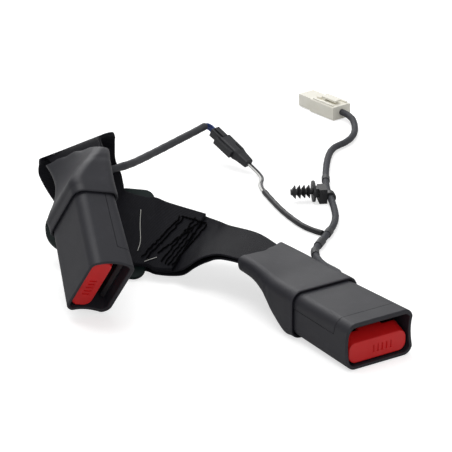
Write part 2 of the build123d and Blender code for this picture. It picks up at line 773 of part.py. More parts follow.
tape_shares = [(0.215, 0.238), (0.262, 0.29), (0.32, 0.34), (0.60, 0.62)]


# A rubber ring where a cord leaves its boot, cut back to the boot's surface.
def make_gland(route, radius, boot_solid):
    start = Vector(*route[0])
    way = (Vector(*route[1]) - start).normalized()
    plane = Plane(origin=start - way * 4.0, z_dir=way)
    return plane.location * Pos(0, 0, 2.0) * Cylinder(radius, 4.0) - boot_solid


def save(name, part):
    export_step(bench * part, f"parts/{name}.step")


os.makedirs("parts", exist_ok=True)
pieces = head_parts()
for name, piece in pieces.items():
    save(f"right_{name}", right_place * piece)
    save(f"left_{name}", left_place * piece)
right_boot, right_solid = make_boot(right_boot_stations)
left_boot, left_solid = make_boot(left_boot_stations)
save("right_boot", right_place * right_boot)
save("left_boot", left_place * left_boot)
save("right_boot_gland", make_gland(trunk_route, 3.4, right_place * right_solid))
save("left_boot_gland", make_gland(left_route, 3.4, left_place * left_solid))
right_top, right_low = make_right_webbing()
left_top, left_low = make_left_webbing()
save("right_webbing_top", right_top)
save("right_webbing_bottom", right_low)
save("left_webbing_top", left_top)
save("left_webbing_bottom", left_low)
save("anchor_plate", make_anchor_plate())
trunk_path = cord_path("trunk", trunk_route)
save("trunk_cord", cord(trunk_path, trunk_diameter))
save("branch_cord", cord(cord_path("branch", branch_route), branch_diameter))
save("left_cord", cord(cord_path("left", left_route), left_diameter))
inline_plug, inline_socket = make_inline_connector()
save("inline_plug", inline_plug)
save("inline_socket", inline_socket)
save("left_leads", Compound(children=make_left_leads()))
for name, side in (("lead_light", 0.9), ("lead_dark", -0.9)):
    save(name, cord(cord_path(name, lead_points(side)), wire_diameter))
main_body, main_arm, main_pins = make_main_connector()
save("main_connector", main_body)
save("main_lock_arm", main_arm)
save("main_terminals", main_pins)
clip_body, clip_tie = make_clip()
save("cable_clip", clip_body)
save("clip_tie", clip_tie)
save("tape_turns", make_tape(trunk_path))
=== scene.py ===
import json
import math
import bpy
import numpy as np
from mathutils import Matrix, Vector


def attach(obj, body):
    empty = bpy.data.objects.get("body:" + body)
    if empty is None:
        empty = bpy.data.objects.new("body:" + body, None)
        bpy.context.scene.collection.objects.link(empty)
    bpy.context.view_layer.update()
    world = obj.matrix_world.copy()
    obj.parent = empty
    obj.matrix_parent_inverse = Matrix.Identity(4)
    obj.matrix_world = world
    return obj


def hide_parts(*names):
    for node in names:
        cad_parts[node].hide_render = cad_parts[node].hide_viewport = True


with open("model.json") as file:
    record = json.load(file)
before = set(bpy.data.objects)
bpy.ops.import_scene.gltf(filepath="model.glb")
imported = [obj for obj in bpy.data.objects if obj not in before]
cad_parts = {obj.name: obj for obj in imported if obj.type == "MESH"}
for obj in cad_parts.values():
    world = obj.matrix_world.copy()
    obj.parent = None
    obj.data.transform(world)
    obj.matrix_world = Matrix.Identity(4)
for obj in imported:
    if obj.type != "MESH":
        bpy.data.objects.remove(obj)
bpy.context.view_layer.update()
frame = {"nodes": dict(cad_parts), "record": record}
nodes = frame["nodes"]
nodeSlot = {entry["node"]: entry["material_slot"] for entry in frame["record"]["subparts"]}
benchShift = np.array((3.87, 125.48, 0.0))  # from the drawing's bench mark to the part's origin, mm


def turnX(deg):
    c, s = math.cos(math.radians(deg)), math.sin(math.radians(deg))
    return np.array(((1, 0, 0), (0, c, -s), (0, s, c)))


def turnY(deg):
    c, s = math.cos(math.radians(deg)), math.sin(math.radians(deg))
    return np.array(((c, 0, s), (0, 1, 0), (-s, 0, c)))


def turnZ(deg):
    c, s = math.cos(math.radians(deg)), math.sin(math.radians(deg))
    return np.array(((c, -s, 0), (s, c, 0), (0, 0, 1)))


headPlace = {
    "right": (np.array((86.0, -204.0, 0.0)), turnZ(34.5)),
    "left": (np.array((-84.3, -154.7, 25.2)), turnZ(14.5) @ turnX(31.4) @ turnY(105.8)),
}


def fromHead(side, points):  # head frame to bench frame, mm
    origin, turn = headPlace[side]
    return np.asarray(points, float) @ turn.T + origin


def toMetres(points):
    return (np.asarray(points, float) + benchShift) * 0.001


def unit(rows):
    rows = np.asarray(rows, float)
    return rows / np.maximum(np.linalg.norm(rows, axis=-1, keepdims=True), 1e-9)


# grid[v, u] holds points in metres; neighbouring rows and columns join in quads.
def meshFromGrid(name, grid, closeU=False, closeV=False, uv=None, capV=False):
    rows, cols = grid.shape[:2]
    index = np.arange(rows * cols).reshape(rows, cols)
    nextU = np.roll(index, -1, axis=1) if closeU else index[:, 1:]
    hereU = index if closeU else index[:, :-1]
    if closeV:
        a, b, c, d = hereU, nextU, np.roll(nextU, -1, axis=0), np.roll(hereU, -1, axis=0)
    else:
        a, b, c, d = hereU[:-1], nextU[:-1], nextU[1:], hereU[1:]
    quads = np.stack((a, b, c, d), axis=-1).reshape(-1, 4)
    faces = quads.tolist()
    if capV:
        faces.append(index[0][::-1].tolist())
        faces.append(index[-1].tolist())
    mesh = bpy.data.meshes.new(name)
    mesh.from_pydata(grid.reshape(-1, 3).tolist(), [], faces)
    if uv is not None:
        layer = mesh.uv_layers.new(name="surface")
        loops = np.empty(len(mesh.loops), np.int32)
        mesh.loops.foreach_get("vertex_index", loops)
        flat = uv.reshape(-1, 2)
        values = flat[loops].copy()
        if closeU:
            wide = flat[:, 0].max() - flat[:, 0].min()
            corner = np.arange(len(quads) * 4).reshape(-1, 4)
            low = values[corner, 0].min(axis=1, keepdims=True)
            high = values[corner, 0].max(axis=1, keepdims=True)
            seam = (high - low) > wide * 0.5
            before = values[corner, 0]
            fixed = np.where(seam & (before < low + wide * 0.25), before + wide + wide / cols, before)
            values[corner.reshape(-1), 0] = fixed.reshape(-1)
        layer.data.foreach_set("uv", values.astype(np.float32).reshape(-1))
    mesh.polygons.foreach_set("use_smooth", np.ones(len(mesh.polygons), bool))
    mesh.update()
    obj = bpy.data.objects.new(name, mesh)
    bpy.context.scene.collection.objects.link(obj)
    return obj


# Catmull-Rom curve through the rows of values, at count even shares of their spacing.
def smoothThrough(values, count):
    values = np.asarray(values, float)
    padded = np.concatenate((2 * values[:1] - values[1:2], values, 2 * values[-1:] - values[-2:-1]))
    t = np.linspace(0, len(values) - 1 - 1e-9, count)
    i = t.astype(int)
    f = (t - i)[:, None]
    p0, p1, p2, p3 = padded[i], padded[i + 1], padded[i + 2], padded[i + 3]
    bend, twist = 2 * p0 - 5 * p1 + 4 * p2 - p3, 3 * p1 - p0 - 3 * p2 + p3
    return 0.5 * (2 * p1 + (p2 - p0) * f + bend * f**2 + twist * f**3)


camera = {"target": (0.00387, 0.12548, 0.0), "elevation": 22.0, "distance": 1.964, "lens": 252.8,
          "sensor": 36, "picture": 452}


def makeCamera(values):
    data = bpy.data.cameras.new("studioCamera")
    data.lens = values["lens"]
    data.sensor_width = values["sensor"]
    data.clip_end = 20
    obj = bpy.data.objects.new("studioCamera", data)
    tilt = math.radians(values["elevation"])
    obj.location = Vector(values["target"]) + Vector((0, -math.cos(tilt), math.sin(tilt))) * values["distance"]
    obj.rotation_euler = (math.pi / 2 - tilt, 0, 0)
    bpy.context.scene.collection.objects.link(obj)
    bpy.context.scene.camera = obj


makeCamera(camera)
print("camera placed")


cordRoutes = {
    "trunk": [
        (57.1, -117.6, 16.4), (66.5, -103.0, 11.0), (66.0, -85.0, 5.0), (57.0, -67.5, 2.62), (52.5, -48.0, 2.62),
        (60.0, -26.0, 2.62), (68.5, 1.0, 2.62), (67.5, 29.0, 2.62), (63.5, 57.0, 2.62), (64.0, 84.0, 2.62),
        (66.0, 112.0, 2.62), (70.0, 131.0, 2.62), (79.0, 140.5, 2.62), (84.5, 153.0, 2.62), (86.5, 169.0, 2.62),
        (84.61, 185.44, 4.8), (78.0, 193.6, 4.8),
    ],
    "branch": [
        (59.2, -16.2, 1.8), (50.5, -10.0, 1.8), (40.5, 8.0, 1.8), (31.5, 30.0, 1.8), (24.5, 53.0, 1.8),
    ],
    "left": [
        (-77.8, -66.2, 60.3), (-68.5, -51.0, 57.0), (-58.0, -28.0, 51.5), (-51.0, -2.0, 45.5),
        (-40.0, 32.0, 39.0), (-28.5, 66.0, 33.0), (-19.5, 92.5, 28.2), (-14.1, 110.7, 24.8),
    ],
    "leadLight": [
        (14.28, 90.05, 6.4), (19.51, 85.03, 3.02), (22.86, 76.04, 1.9), (20.15, 64.22, 1.8), (23.64, 52.74, 1.8),
    ],
    "leadDark": [
        (15.52, 91.35, 6.4), (20.75, 86.33, 3.02), (24.34, 76.96, 1.9), (21.87, 64.74, 1.8), (25.36, 53.26, 1.8),
    ],
}


# Centre line of the route's smooth curve, read from its spline, in metres.
def smoothRoute(name, points):
    curve = bpy.data.curves.new(name + "Route", "CURVE")
    curve.dimensions = "3D"
    curve.resolution_u = 24
    spline = curve.splines.new("NURBS")
    spline.points.add(len(points) - 1)
    for slotPoint, point in zip(spline.points, toMetres(points)):
        slotPoint.co = (*point, 1.0)
    spline.order_u = 3
    spline.use_endpoint_u = True
    holder = bpy.data.objects.new(name + "Route", curve)
    bpy.context.scene.collection.objects.link(holder)
    bpy.context.view_layer.update()
    mesh = bpy.data.meshes.new_from_object(holder)
    line = np.empty(len(mesh.vertices) * 3)
    mesh.vertices.foreach_get("co", line)
    bpy.data.objects.remove(holder)
    bpy.data.meshes.remove(mesh)
    return line.reshape(-1, 3)


def evenly(line, step):
    lengths = np.concatenate(((0,), np.cumsum(np.linalg.norm(np.diff(line, axis=0), axis=1))))
    count = max(int(lengths[-1] / step) + 1, 8)
    at = np.linspace(0, lengths[-1], count)
    return np.stack([np.interp(at, lengths, line[:, k]) for k in range(3)], axis=1), at


# A round tube: each ring stands square to the line, turned as little as it can be from the last.
def tubeAlong(name, line, along, radius, around=24):
    way = unit(np.gradient(line, axis=0))
    side = np.empty_like(way)
    side[0] = unit(np.cross(way[0], (0.13, 0.21, 1.0)))
    for k in range(1, len(way)):
        side[k] = unit(side[k - 1] - way[k] * np.dot(side[k - 1], way[k]))
    up = np.cross(way, side)
    angle = np.linspace(0, 2 * math.pi, around, endpoint=False)
    ring = radius if np.ndim(radius) == 2 else np.repeat(np.asarray(radius)[:, None], around, axis=1)
    grid = line[:, None] + ring[..., None] * (
        np.cos(angle)[None, :, None] * side[:, None] + np.sin(angle)[None, :, None] * up[:, None])
    uv = np.stack(np.broadcast_arrays(angle[None, :] / (2 * math.pi), along[:, None] * 1000), axis=-1)
    return meshFromGrid(name, grid, closeU=True, uv=uv, capV=True)


cordSleeve = {"tapePitch": 8.0, "tapeStep": 0.12, "wander": 0.10, "seed": 11}


# Base radius with a low helical step for each turn of tape and a slow, uneven swell.
def tapedRadius(along, base, around, values):
    rng = np.random.default_rng(values["seed"])
    angle = np.linspace(0, 1, around, endpoint=False)[None, :]
    turn = (along[:, None] * 1000 / values["tapePitch"] + angle) % 1.0
    waves = 4
    swell = sum(rng.uniform(0.3, 1.0) * np.sin(along * 1000 / rng.uniform(5, 19) + rng.uniform(0, 6))
                for _ in range(waves)) / waves
    return (base + values["tapeStep"] * (turn - 0.5) + values["wander"] * swell[:, None]) * 0.001


def addCord(key, node, radiusOf):
    line = smoothRoute(key, cordRoutes[key])
    line, along = evenly(line, 0.0007)
    obj = tubeAlong(key + "Sleeve", line, along, radiusOf(along))
    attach(obj, "base")
    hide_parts(node)
    return obj


cords = {
    "trunk": addCord("trunk", "trunk_cord",
                     lambda s: tapedRadius(s, 2.15, 24, cordSleeve)),
    "branch": addCord("branch", "branch_cord",
                      lambda s: (1.8 + 0.04 * np.sin(s * 600)) * 0.001),
    "left": addCord("left", "left_cord",
                    lambda s: (2.4 - 0.75 * np.exp(-s / 0.012) + 0.10 * np.exp(-((s - 0.034) / 0.006) ** 2)
                               + 0.05 * np.sin(s * 410) + 0.03 * np.sin(s * 173 + 1.0)) * 0.001),
    "leadLight": addCord("leadLight", "lead_light", lambda s: s * 0 + 0.0007),
    "leadDark": addCord("leadDark", "lead_dark", lambda s: s * 0 + 0.0007),
}
print("cords laid")


belt = {"thick": 1.2, "layerGap": 0.1, "frameLoop": 1.9, "plateLoop": 2.4, "barWidth": 6.0, "halfAtBar": 23.5,
        "lapFar": 0.85, "lapNear": 0.15}
barEdge = (np.array((-54.0, -80.1, 5.7)), np.array((-49.0, -42.2, 32.9)))
barAlong = unit(barEdge[1] - barEdge[0])
toBolt = unit(np.array((-1.0, 0, 0)) - barAlong * -barAlong[0])
plateUp = np.cross(toBolt, barAlong)
plateUp = plateUp if plateUp[2] > 0 else -plateUp
rightRun = [
    ((-2.3, -110.9, 26.6), (19.1, -69.2, 23.0), (0.1, 0, 1)),
    ((-11.1, -101.8, 21.9), (2.4, -56.8, 23.0), (0.1, 0, 1)),
    ((-17.6, -99.8, 18.1), (-3.6, -55.5, 25.0), (0.1, -0.2, 1)),
    ((-24.8, -95.9, 11.4), (-10.3, -54.0, 27.0), (0, -0.4, 1)),
    ((-33.2, -86.8, 5.7), (-21.7, -47.7, 29.0), (0, -0.5, 1)),
    ((-42.1, -85.9, 6.2), (-33.7, -46.0, 31.5), (0, -0.6, 1)),
]
rightSags = [(2.4, 1.4), (3.6, 1.5), (4.4, 1.6), (4.4, 1.8), (3.6, 2.2), (3.4, 3.2)]
leftRun = [
    ((-66.0, -79.5, 10.6), (-60.0, -41.4, 38.6), (0, -0.6, 1)),
    ((-85.0, -67.4, 20.6), (-62.0, -37.4, 41.8), (0.2, -0.7, 0.8)),
    ((-103.0, -45.0, 34.0), (-63.5, -36.0, 49.0), (0.3, -1, 0.3)),
    ((-112.0, -36.5, 47.0), (-66.7, -36.0, 57.5), (0.1, -1, -0.1)),
    ((-112.2, -38.6, 55.0), (-66.9, -38.0, 69.5), (0.2, -0.9, -0.5)),
    ((-110.8, -44.5, 60.6), (-67.3, -45.5, 77.6), (0.35, -0.1, -0.9)),
]
bootBelt = {
    "right": [
        (0.8, 89, 22.6, 18.2, 10, 3, 1.7),
        (1.8, 102, 23.5, 18.8, 20, 5, 1.2), (2.5, 115, 24.3, 19.4, 28, 6, 0.8),
    ],
    "left": [
        (2.2, 88, 22.6, -18.2, 6, 12, 1.7),
        (5.0, 99, 23.0, -18.8, 10, 20, 1.2), (8.0, 110, 23.4, -19.4, 13, 27, 0.8),
    ],
}


def stationRows(stations):
    return np.array([np.concatenate((near, far, up)) for near, far, up in stations], float)


def faceNormals(rows):
    across = unit(rows[:, 3:6] - rows[:, 0:3])
    up = rows[:, 6:9]
    return unit(up - across * np.sum(up * across, axis=1, keepdims=True))


def lifted(rows, nearBy, farBy):
    out = rows.copy()
    lift = faceNormals(rows)
    out[:, 0:3] += lift * np.asarray(nearBy, float).reshape(-1, 1)
    out[:, 3:6] += lift * np.asarray(farBy, float).reshape(-1, 1)
    return out


def atBar(out, lift):
    middle = (barEdge[0] + barEdge[1]) / 2 - toBolt * out + plateUp * lift
    half = belt["halfAtBar"]
    return np.concatenate((middle - barAlong * half, middle + barAlong * half, plateUp))[None]


def roundBar(near, far, out, up, offset, steps=6):
    angle = np.linspace(0, math.pi, steps + 1)[:, None]
    way = up * np.cos(angle) + out * np.sin(angle)
    return np.concatenate((near + way * offset, far + way * offset, way), axis=1)


# Rows round the head's belt bar, then the upper and the lower layer out to the boot's mouth.
def headRows(side, halfBar):
    turn = headPlace[side][1]
    up, forward = turn @ (0, 0, 1), turn @ (0, -1, 0)
    near, far = fromHead(side, ((-halfBar, 73.0, 23.2), (halfBar, 73.0, 23.2)))
    wrap = roundBar(near, far, forward, up, belt["frameLoop"])
    upper, lower = [], []
    for x, y, z, half, turnDeg, roll, space in [(0, 79.0, 23.2, halfBar, 0, 0, belt["frameLoop"])] + bootBelt[side]:
        local = turnZ(turnDeg) @ turnY(roll)
        ends = fromHead(side, np.array(((-half, 0, 0), (half, 0, 0))) @ local.T + (x, y, z))
        lift = turn @ local @ (0, 0, 1)
        upper.append(np.concatenate((ends[0] + lift * space, ends[1] + lift * space, lift)))
        lower.append(np.concatenate((ends[0] - lift * space, ends[1] - lift * space, lift)))
    return wrap, np.array(upper), np.array(lower)


def flipUp(rows):
    out = rows.copy()
    out[:, 6:9] *= -1
    return out


def beltRows():
    step = belt["thick"] + belt["layerGap"]
    bar, over = belt["plateLoop"], belt["barWidth"] + 1
    wrap, upper, lower = headRows("right", 17.6)
    run = stationRows(rightRun)
    sags = np.array(rightSags)
    edge = atBar(0, 0)[0]
    plateWrap = roundBar(edge[0:3], edge[3:6], toBolt, plateUp, bar)
    rightTop = np.concatenate((wrap[::-1], upper, run, atBar(over, bar), plateWrap))
    rightLow = np.concatenate((flipUp(wrap[-1:]), lower, lifted(run, -sags[:, 0], -sags[:, 1]),
                               atBar(over, -bar), flipUp(plateWrap[-1:])))
    wrap, upper, lower = headRows("left", -17.6)
    lap = np.concatenate((run[-2:], atBar(over, bar), atBar(0, bar)))
    lap[0, 3:6] += belt["lapFar"] * (run[-3, 3:6] - run[-2, 3:6])
    lap[0, 0:3] += belt["lapNear"] * (run[-3, 0:3] - run[-2, 0:3])
    run = stationRows(leftRun)
    ones = np.ones(len(run))
    leftLow = np.concatenate((lifted(lap, [step] * 4, [step] * 4), lifted(run, -ones * step / 2, -ones * step / 2),
                              lower[::-1], flipUp(wrap[-1:])))
    leftTop = np.concatenate((lifted(lap, [2 * step] * 4, [2 * step] * 4), lifted(run, ones * step / 2, ones * step / 2),
                              upper[::-1], wrap))
    return {"right_webbing_top": rightTop, "right_webbing_bottom": rightLow,
            "left_webbing_top": leftTop, "left_webbing_bottom": leftLow}


webbing = {"acrossCount": 44, "edgeRound": 0.6, "ripple": 0.25, "step": 0.8, "seed": 4}


# Even steps along a smooth curve through the stations.
def resampleRows(rows, step):
    fine = smoothThrough(rows, len(rows) * 24)
    middle = (fine[:, 0:3] + fine[:, 3:6]) / 2
    lengths = np.concatenate(((0,), np.cumsum(np.linalg.norm(np.diff(middle, axis=0), axis=1))))
    at = np.linspace(0, lengths[-1], int(lengths[-1] / step) + 1)
    return np.stack([np.interp(at, lengths, fine[:, k]) for k in range(9)], axis=1), at


# A flat loop of profile, top then bottom with round selvedges, carried along the stations.
def addWebbing(name, rows, values):
    fine, along = resampleRows(rows, values["step"])
    lift = faceNormals(fine)
    count = values["acrossCount"]
    share = (np.arange(count) + 0.5) / count
    half = belt["thick"] / 2
    edge = np.linspace(-math.pi / 2, math.pi / 2, 7)[1:-1]
    profileU = np.concatenate((share, 1 + 0.006 * np.cos(edge), share[::-1], -0.006 * np.cos(edge)))
    profileH = np.concatenate((np.full(count, half), -np.sin(edge) * half,
                               np.full(count, -half), np.sin(edge) * half))
    rng = np.random.default_rng(values["seed"])
    wave = np.zeros((len(along), len(profileU)))
    for _ in range(5):
        wave += rng.uniform(0.2, 1) * np.sin(along[:, None] / rng.uniform(9, 24)
                                             + profileU[None, :] * rng.uniform(-5, 5) + rng.uniform(0, 6))
    wave *= values["ripple"] / 5
    base = fine[:, None, 0:3] * (1 - profileU[None, :, None]) + fine[:, None, 3:6] * profileU[None, :, None]
    grid = base + lift[:, None] * (profileH[None, :] + wave)[..., None]
    width = np.linalg.norm(fine[:, 3:6] - fine[:, 0:3], axis=1)
    uv = np.stack(np.broadcast_arrays(profileU[None, :] * width.mean(), along[:, None]), axis=-1)
    obj = meshFromGrid(name + "Cloth", toMetres(grid), closeU=True, uv=uv, capV=True)
    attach(obj, "base")
    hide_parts(name)
    return obj, fine, along


beltPieces = {name: addWebbing(name, rows, webbing) for name, rows in beltRows().items()}
print("webbing woven")


bootShape = {
    "wall": 1.3, "around": 168, "rings": 120,
    "endCut": {"right": (0.5, -8.0), "left": (4.0, 3.2)},  # mm off the end, all round and more on the -X side
    "right": [
        (0.0, 52.6, 14.58, 46.4, 29.2, 0, 0), (0.0, 57.0, 14.58, 46.4, 29.2, 0, 0),
        (0.0, 63.0, 14.58, 46.4, 29.0, 0, 0),
        (0.2, 76.0, 18.0, 46.4, 21.5, 2, 1), (0.8, 89.0, 21.5, 45.0, 15.0, 10, 3),
        (1.8, 102.0, 23.4, 44.0, 11.4, 20, 5), (2.5, 114.0, 24.2, 43.0, 10.0, 28, 6),
    ],
    "left": [
        (0.0, 52.6, 14.58, 46.4, 29.2, 0, 0), (0.0, 57.0, 14.58, 46.4, 29.2, 0, 0),
        (0.0, 63.0, 14.58, 46.4, 29.0, 0, 0),
        (0.4, 76.0, 18.5, 46.4, 21.0, 2, 4), (2.2, 88.0, 21.5, 45.0, 15.0, 6, 12),
        (5.0, 99.0, 23.0, 44.0, 11.4, 10, 20), (8.0, 109.0, 23.4, 43.0, 10.0, 13, 27),
    ],
}


# Point on a rounded rectangle at a share of its way round, from the middle of its +X side, with its outward way.
def roundedOutline(width, height, radius, share):
    straightX, straightZ = width / 2 - radius, height / 2 - radius
    arc = radius * math.pi / 2
    total = 4 * (straightX + straightZ + arc)
    s = (share[None, :] * total) % total
    quarter = total / 4
    odd = np.floor(s / quarter).astype(int) % 4
    # first quarter: up the +X side, round the corner, to the middle of the top
    t = s - np.floor(s / quarter) * quarter
    flip = (odd % 2 == 1)
    t = np.where(flip, quarter - t, t)
    angle = np.clip((t - straightZ) / radius, 0, math.pi / 2)
    x = np.where(t < straightZ, width / 2,
                 np.where(t < straightZ + arc, straightX + radius * np.cos(angle), straightX - (t - straightZ - arc)))
    z = np.where(t < straightZ, t, np.where(t < straightZ + arc, straightZ + radius * np.sin(angle), height / 2))
    x = np.where((odd == 1) | (odd == 2), -x, x)
    z = np.where((odd == 2) | (odd == 3), -z, z)
    nx = np.where((odd == 1) | (odd == 2), -np.cos(angle), np.cos(angle))
    nz = np.where((odd == 2) | (odd == 3), -np.sin(angle), np.sin(angle))
    return x, z, nx, nz


# A sleeve: rounded outlines that shrink and turn along the stations, with shallow folds.
def addBoot(side, values):
    rows = smoothThrough(np.array(values[side], float), values["rings"])
    share = np.linspace(0, 1, values["around"], endpoint=False)
    width, height = rows[:, 3:4], rows[:, 4:5]
    radius = np.minimum(6.6, height * 0.42)
    x, z, nx, nz = roundedOutline(width, height, radius, share)
    v = np.linspace(0, 1, values["rings"])[:, None]
    lip = 0.9 * np.exp(-((v - 0.0) / 0.018) ** 2)
    dent = 0.55 * np.exp(-((v - 0.52) / 0.16) ** 2) * np.abs(nx) ** 2
    fold = 0.12 * np.exp(-((v - 0.60) / 0.10) ** 2) * np.sin(46 * v + 3 * share[None, :] * 6.28) * np.abs(nx)
    push = -dent + fold - lip * 0.35
    x, z = x + nx * push, z + nz * push
    angle, roll = np.radians(rows[:, 5:6]), np.radians(rows[:, 6:7])
    xr, zr = x * np.cos(roll) + z * np.sin(roll), -x * np.sin(roll) + z * np.cos(roll)
    cutAll, cutSide = values["endCut"][side]
    ease = np.clip((v - 0.62) / 0.38, 0, 1) ** 2
    cut = (cutAll + cutSide * np.clip(-x / (width / 2), 0, 1) ** 1.5 + 0.35 * np.sin(share[None, :] * 50)) * ease
    points = np.stack((rows[:, 0:1] + xr * np.cos(angle) + cut * np.sin(angle),
                       rows[:, 1:2] + xr * np.sin(angle) - cut * np.cos(angle), rows[:, 2:3] + zr), axis=-1)
    uv = np.stack(np.broadcast_arrays(share[None, :] * 130, rows[:, 1:2]), axis=-1)
    grid = toMetres(fromHead(side, points.reshape(-1, 3))).reshape(points.shape)
    obj = meshFromGrid(side + "BootSkin", grid[:, ::-1], closeU=True, uv=uv[:, ::-1])
    wall = obj.modifiers.new("wall", "SOLIDIFY")
    wall.thickness = values["wall"] * 0.001
    wall.offset = -1
    wall.use_even_offset = True
    edge = obj.modifiers.new("edge", "BEVEL")
    edge.width = 0.00035
    edge.segments = 2
    edge.limit_method = "ANGLE"
    edge.angle_limit = math.radians(50)
    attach(obj, "base")
    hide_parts(side + "_boot")
    return obj


boots = {side: addBoot(side, bootShape) for side in ("right", "left")}
print("boots moulded")


stitching = {
    "rows": [((181, 216.5), (142, 257)), ((184, 218), (146, 258.5)), ((193.5, 227), (158, 253)),
             ((195.5, 218.5), (161, 262)), ((199.5, 220.5), (164.5, 264)), ((203.5, 222.5), (168, 265.5)),
             ((207.5, 224.5), (172, 266)), ((182, 216.3), (206, 223.5)),
             ((51, 160.5), (97, 140)), ((60, 159), (98, 143))],
    "pitch": 2.9, "length": 0.0025, "width": 0.00115, "seed": 8,
}
looseThreads = {"lines": [[(141.4, 210.5), (140.6, 228), (139, 248), (135.9, 253)],
                          [(144, 262), (148, 260.8), (152, 259.6), (156, 258.2), (160, 256.8)]],
                "radius": 0.00017, "lift": 0.0007}


# Where a point of the photograph's frame lies: x/depth and y/depth of the camera, in picture points.
def pictureSpot(points):
    tilt = math.radians(camera["elevation"])
    ahead, up = np.array((0, math.cos(tilt), -math.sin(tilt))), np.array((0, math.sin(tilt), math.cos(tilt)))
    away = points - (np.array(camera["target"]) - ahead * camera["distance"])
    depth = away @ ahead
    focal = camera["lens"] / camera["sensor"] * camera["picture"]
    middle = camera["picture"] / 2
    return middle + focal * away[..., 0] / depth, middle - focal * (away @ up) / depth, depth


def strapSurface():
    spots, lifts = [], []
    for name in ("left_webbing_top", "right_webbing_top"):
        _, fine, _ = beltPieces[name]
        u = np.linspace(0.02, 0.98, 90)[None, :, None]
        lift = faceNormals(fine)[:, None] * np.ones_like(u)
        middle = fine[:, None, 0:3] * (1 - u) + fine[:, None, 3:6] * u
        spots.append((middle + lift * belt["thick"] / 2).reshape(-1, 3))
        lifts.append(lift.reshape(-1, 3))
    return toMetres(np.concatenate(spots)), np.concatenate(lifts)


spotReach = {"picture": 1.2, "depth": 0.0012}  # squared picture points, and metres behind the nearest layer


# For each picture spot, the point of the strap's front layer that lies nearest to it in the picture.
def onStrap(wanted, surface, lifts):
    col, row, depth = pictureSpot(surface)
    found = []
    for c, r in wanted:
        off = (col - c) ** 2 + (row - r) ** 2
        close = off < spotReach["picture"]
        if close.any():
            off = np.where(close & (depth < depth[close].min() + spotReach["depth"]), off, 1e9)
        found.append(int(np.argmin(off)))
    return surface[found], lifts[found]


# Each stitch is a small ellipsoid: sin and cos over a grid, stretched along the row.
def addStitches(values, surface, lifts):
    rng = np.random.default_rng(values["seed"])
    places, ways, ups = [], [], []
    for start, end in values["rows"]:
        start, end = np.array(start, float), np.array(end, float)
        count = int(np.linalg.norm(end - start) / values["pitch"])
        share = (np.arange(count) + 0.5) / count
        line, lift = onStrap(start + (end - start) * share[:, None], surface, lifts)
        places.append(line + rng.normal(0, 0.00008, line.shape))
        ways.append(unit(np.gradient(line, axis=0)))
        ups.append(lift)
    places, ways, ups = np.concatenate(places), np.concatenate(ways), np.concatenate(ups)
    ways = unit(ways - ups * np.sum(ways * ups, axis=1, keepdims=True))
    sides = np.cross(ups, ways)
    around = np.linspace(0, 2 * math.pi, 8, endpoint=False)
    fromTip = np.linspace(0.02, math.pi - 0.02, 6)
    ball = np.stack((np.cos(fromTip)[:, None] * np.ones(8), np.sin(fromTip)[:, None] * np.cos(around),
                     np.sin(fromTip)[:, None] * np.sin(around)), axis=-1).reshape(-1, 3)
    ball = ball * (values["length"] / 2, values["width"] / 2, values["width"] / 2)
    corners = places[:, None] + ups[:, None] * values["width"] * 0.45 + (
        ball[None, :, 0:1] * ways[:, None] + ball[None, :, 1:2] * sides[:, None] + ball[None, :, 2:3] * ups[:, None])
    grid = np.arange(48).reshape(6, 8)
    turned = np.roll(grid, -1, axis=1)
    quads = np.stack((grid[:-1], turned[:-1], turned[1:], grid[1:]), axis=-1).reshape(-1, 4)
    one = quads[:, ::-1].tolist() + [grid[0].tolist(), grid[-1][::-1].tolist()]
    faces = [[v + 48 * k for v in face] for k in range(len(places)) for face in one]
    mesh = bpy.data.meshes.new("beltStitches")
    mesh.from_pydata(corners.reshape(-1, 3).tolist(), [], faces)
    mesh.update()
    obj = bpy.data.objects.new("beltStitches", mesh)
    bpy.context.scene.collection.objects.link(obj)
    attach(obj, "base")
    return obj


def addThread(name, line, values, surface, lifts):
    fine = smoothThrough(np.array(line, float), 12)
    spots, ups = onStrap(fine, surface, lifts)
    spots = smoothThrough(spots[::3], 48) + unit(ups.mean(axis=0)) * values["lift"]
    along = np.concatenate(((0,), np.cumsum(np.linalg.norm(np.diff(spots, axis=0), axis=1))))
    obj = tubeAlong(name, spots, along, along * 0 + values["radius"], around=8)
    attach(obj, "base")
    return obj


surface, lifts = strapSurface()
stitches = addStitches(stitching, surface, lifts)
threads = [addThread(f"looseThread{k}", line, looseThreads, surface, lifts)
           for k, line in enumerate(looseThreads["lines"])]
print("straps stitched")


def newGroup(name, inputs, outputs):
    group = bpy.data.node_groups.new(name, "ShaderNodeTree")
    for label, kind, value in inputs:
        socket = group.interface.new_socket(label, in_out="INPUT", socket_type=kind)
        if value is not None:
            socket.default_value = value
    for label, kind in outputs:
        group.interface.new_socket(label, in_out="OUTPUT", socket_type=kind)
    return group, group.nodes.new("NodeGroupInput"), group.nodes.new("NodeGroupOutput")


def mathNode(tree, operation, first, second=None, third=None):
    node = tree.nodes.new("ShaderNodeMath")
    node.operation = operation
    for k, value in enumerate((first, second, third)):
        if value is None:
            continue
        if isinstance(value, (int, float)):
            node.inputs[k].default_value = value
        else:
            tree.links.new(value, node.inputs[k])
    return node.outputs[0]


